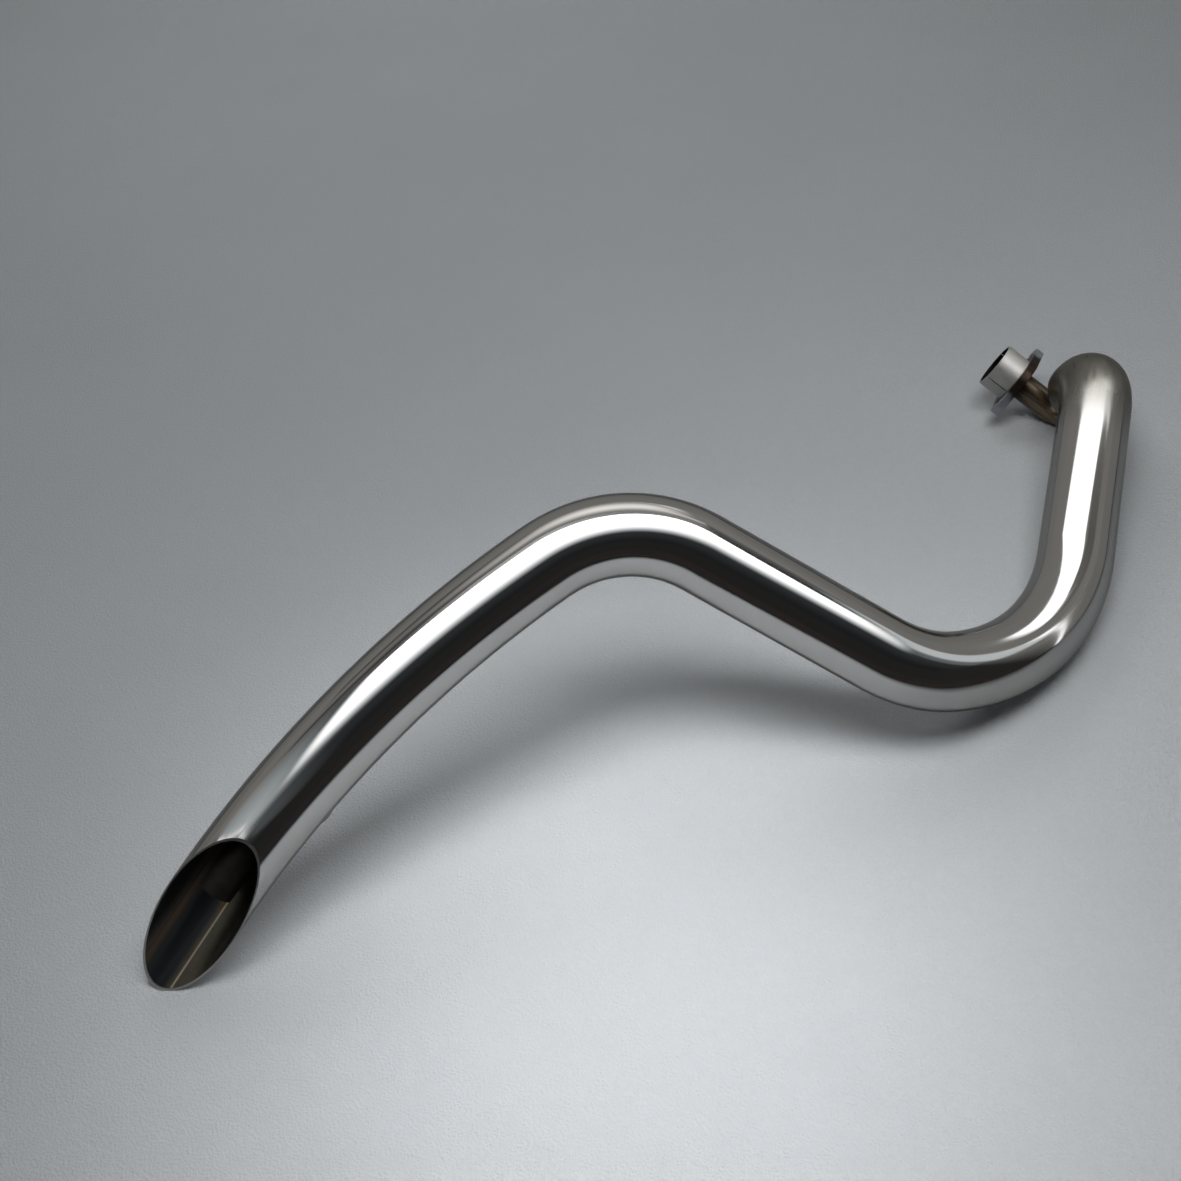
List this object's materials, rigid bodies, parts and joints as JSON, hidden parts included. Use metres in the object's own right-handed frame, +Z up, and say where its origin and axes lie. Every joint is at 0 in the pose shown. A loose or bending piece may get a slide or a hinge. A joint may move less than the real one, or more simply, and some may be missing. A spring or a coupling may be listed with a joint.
{
  "type": "motorcycle muffler",
  "caption": "Long S-shaped motorcycle exhaust muffler: slim gas pipe inside a fat polished cover pipe, slash-cut outlet, oval port flange and split collars.",
  "frame": {"origin": "middle of the footprint, on the floor that the pipe lies on", "axes": "+X along the longest extent, from the outlet to the engine end; +Y from the side seen in the picture to the far side; +Z up from the floor"},
  "size_m": [0.8714, 0.516, 0.2297],
  "materials": {
    "polished_cover": "mirror polished, with fine brushed lines",
    "gas_pipe": "heat-tinted brown",
    "collar_steel": "dull, turned",
    "flange_zinc": "zinc plated",
    "spacer_steel": "plain, sooted"
  },
  "bodies": {
    "root": {"cover_tail": "polished_cover", "cover_middle": "polished_cover", "cover_head": "polished_cover", "core_pipe": "gas_pipe", "head_pipe": "gas_pipe", "lip_ring": "gas_pipe", "port_flange": "flange_zinc", "collar_upper": "collar_steel", "collar_lower": "collar_steel", "spacer_tail": "spacer_steel", "spacer_middle": "spacer_steel", "spacer_head": "spacer_steel", "hanger_plate": "polished_cover"}
  },
  "joints": []
}
